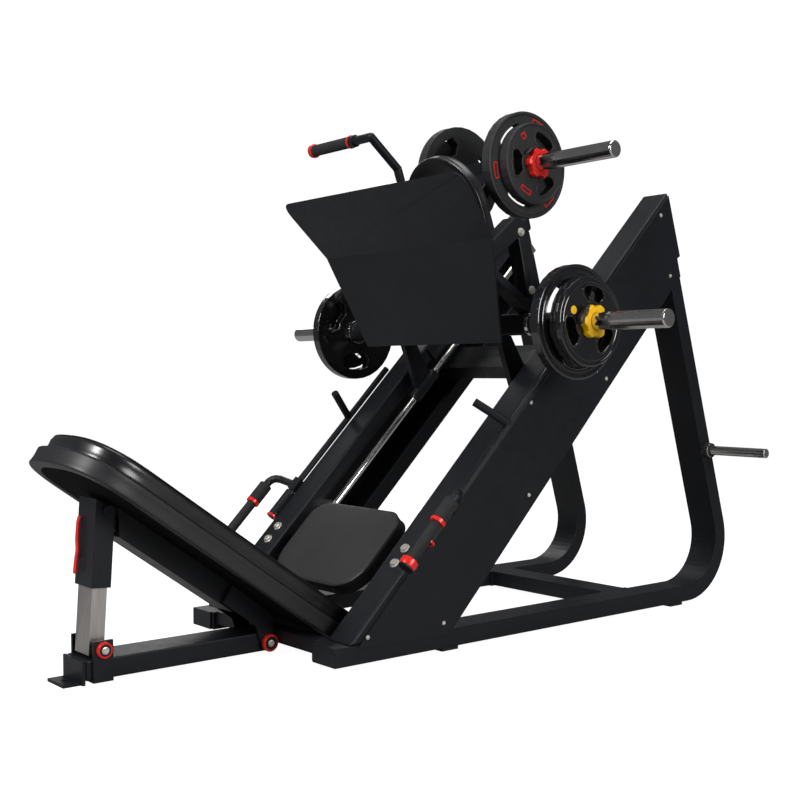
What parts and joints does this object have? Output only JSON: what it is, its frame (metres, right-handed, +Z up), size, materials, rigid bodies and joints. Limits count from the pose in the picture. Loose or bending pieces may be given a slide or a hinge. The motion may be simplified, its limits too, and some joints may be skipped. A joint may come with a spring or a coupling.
{
  "type": "leg press machine",
  "caption": "Plate-loaded 45 degree leg press with a sliding foot-plate carriage, inclined backrest, seat, turning safety stops and weight horns.",
  "frame": {"origin": "bottom centre of the bounding box, on the floor", "axes": "+Z up, +Y from the backrest's head end towards the tall uprights, +X across the machine to the side of the right-hand horns"},
  "size_m": [1.68, 2.2154, 1.556],
  "materials": {
    "frame_black": "satin powder coat",
    "upholstery": "satin artificial leather over foam",
    "rubber_black": "matte",
    "plate_rubber": "matte rubber over iron",
    "plate_enamel": "gloss enamel",
    "collar_yellow": "gloss",
    "collar_red": "gloss",
    "chrome": "polished",
    "steel_satin": "brushed",
    "lever_red": "gloss"
  },
  "bodies": {
    "frame": {"centre_floor_tube": "frame_black", "front_cross_tube": "frame_black", "front_foot_bracket": "frame_black", "left_front_foot": "rubber_black", "left_guide_rod": "chrome", "left_lower_rail": "frame_black", "left_rail_beam": "frame_black", "left_rear_foot": "rubber_black", "left_side_cover": "frame_black", "left_side_frame": "frame_black", "left_stop_bushing": "frame_black", "left_storage_peg": "chrome", "post_saddle": "frame_black", "rear_cross_tube": "frame_black", "right_front_foot": "rubber_black", "right_guide_rod": "chrome", "right_lower_rail": "frame_black", "right_rail_beam": "frame_black", "right_rear_foot": "rubber_black", "right_side_cover": "frame_black", "right_side_frame": "frame_black", "right_stop_bushing": "frame_black", "right_storage_peg": "chrome", "seat_bracket": "frame_black", "seat_pad": "upholstery", "upper_cross_tube": "frame_black"},
    "carriage": {"carriage_axle_tube": "frame_black", "right_carriage_side": "frame_black", "left_carriage_side": "frame_black", "carriage_column": "frame_black", "right_bearing_housing": "frame_black", "left_bearing_housing": "frame_black", "foot_plate": "frame_black", "carriage_pad": "upholstery", "carriage_handle": "frame_black", "right_lower_horn": "chrome", "left_lower_horn": "chrome", "right_upper_horn": "chrome", "left_upper_horn": "chrome"},
    "backrest": {"backrest_arm": "frame_black", "backrest_base_pad": "upholstery", "backrest_top_pad": "upholstery"},
    "post_inner": {"post_inner": "steel_satin"},
    "post_sleeve": {"post_sleeve": "frame_black"},
    "post_lever": {"post_lever": "lever_red"},
    "right_stop": {"right_stop_shaft": "frame_black"},
    "left_stop": {"left_stop_shaft": "frame_black"},
    "right_lower_big_plate": {"right_lower_big_plate": "plate_enamel"},
    "right_lower_small_plate": {"right_lower_small_plate": "plate_enamel"},
    "right_lower_collar": {"right_lower_collar": "collar_yellow"},
    "right_upper_big_plate": {"right_upper_big_plate": "plate_rubber"},
    "right_upper_small_plate": {"right_upper_small_plate": "plate_rubber"},
    "right_upper_collar": {"right_upper_collar": "collar_red"},
    "left_lower_big_plate": {"left_lower_big_plate": "plate_enamel"},
    "left_lower_small_plate": {"left_lower_small_plate": "plate_enamel"},
    "left_lower_collar": {"left_lower_collar": "collar_yellow"},
    "left_upper_big_plate": {"left_upper_big_plate": "plate_rubber"},
    "left_upper_small_plate": {"left_upper_small_plate": "plate_rubber"},
    "left_upper_collar": {"left_upper_collar": "collar_red"}
  },
  "joints": [
    {"name": "carriage_slide", "type": "slide", "parent": "frame", "child": "carriage", "axis": [0, 0.7071, 0.7071], "range_m": [-0.2, 0.4]},
    {"name": "backrest_tilt", "type": "hinge", "parent": "frame", "child": "backrest", "pos_m": [0, -0.50808, 0.033], "axis": [1, 0, 0], "range_deg": [-5, 6]},
    {"name": "post_swing", "type": "hinge", "parent": "frame", "child": "post_inner", "pos_m": [0, -0.98508, 0.083], "axis": [1, 0, 0], "range_deg": [-6, 7]},
    {"name": "post_slide", "type": "slide", "parent": "post_inner", "child": "post_sleeve", "axis": [0, 0.0677, 0.9977], "range_m": [-0.055, 0.046]},
    {"name": "lever_pull", "type": "hinge", "parent": "post_sleeve", "child": "post_lever", "pos_m": [0, -1.00215, 0.40467], "axis": [1, 0, 0], "range_deg": [-12, 0], "stiffness_Nm_per_rad": 2, "springref_deg": 11.46},
    {"name": "right_stop_turn", "type": "hinge", "parent": "frame", "child": "right_stop", "pos_m": [0.38, -0.17024, 0.34684], "axis": [0, 0.7071, 0.7071], "range_deg": [0, 60]},
    {"name": "left_stop_turn", "type": "hinge", "parent": "frame", "child": "left_stop", "pos_m": [-0.38, -0.17024, 0.34684], "axis": [0, 0.7071, 0.7071], "range_deg": [-36, 24]},
    {"name": "right_lower_big_plate_spin", "type": "hinge", "parent": "carriage", "child": "right_lower_big_plate", "pos_m": [0, 0.21492, 0.897], "axis": [1, 0, 0], "continuous": true},
    {"name": "right_lower_small_plate_spin", "type": "hinge", "parent": "carriage", "child": "right_lower_small_plate", "pos_m": [0, 0.21492, 0.897], "axis": [1, 0, 0], "continuous": true},
    {"name": "right_lower_collar_slide", "type": "slide", "parent": "carriage", "child": "right_lower_collar", "axis": [1, 0, 0], "range_m": [0, 0.22]},
    {"name": "right_upper_big_plate_spin", "type": "hinge", "parent": "carriage", "child": "right_upper_big_plate", "pos_m": [0, 0.37792, 1.393], "axis": [1, 0, 0], "continuous": true},
    {"name": "right_upper_small_plate_spin", "type": "hinge", "parent": "carriage", "child": "right_upper_small_plate", "pos_m": [0, 0.37792, 1.393], "axis": [1, 0, 0], "continuous": true},
    {"name": "right_upper_collar_slide", "type": "slide", "parent": "carriage", "child": "right_upper_collar", "axis": [1, 0, 0], "range_m": [0, 0.27]},
    {"name": "left_lower_big_plate_spin", "type": "hinge", "parent": "carriage", "child": "left_lower_big_plate", "pos_m": [0, 0.21492, 0.897], "axis": [1, 0, 0], "continuous": true},
    {"name": "left_lower_small_plate_spin", "type": "hinge", "parent": "carriage", "child": "left_lower_small_plate", "pos_m": [0, 0.21492, 0.897], "axis": [1, 0, 0], "continuous": true},
    {"name": "left_lower_collar_slide", "type": "slide", "parent": "carriage", "child": "left_lower_collar", "axis": [-1, 0, 0], "range_m": [0, 0.22]},
    {"name": "left_upper_big_plate_spin", "type": "hinge", "parent": "carriage", "child": "left_upper_big_plate", "pos_m": [0, 0.37792, 1.393], "axis": [1, 0, 0], "continuous": true},
    {"name": "left_upper_small_plate_spin", "type": "hinge", "parent": "carriage", "child": "left_upper_small_plate", "pos_m": [0, 0.37792, 1.393], "axis": [1, 0, 0], "continuous": true},
    {"name": "left_upper_collar_slide", "type": "slide", "parent": "carriage", "child": "left_upper_collar", "axis": [-1, 0, 0], "range_m": [0, 0.27]}
  ],
  "couplings": [
    {"joint": "post_swing", "follows": "backrest_tilt", "ratio": 1.0656},
    {"joint": "post_slide", "follows": "backrest_tilt", "m_per_rad": -0.4781}
  ]
}
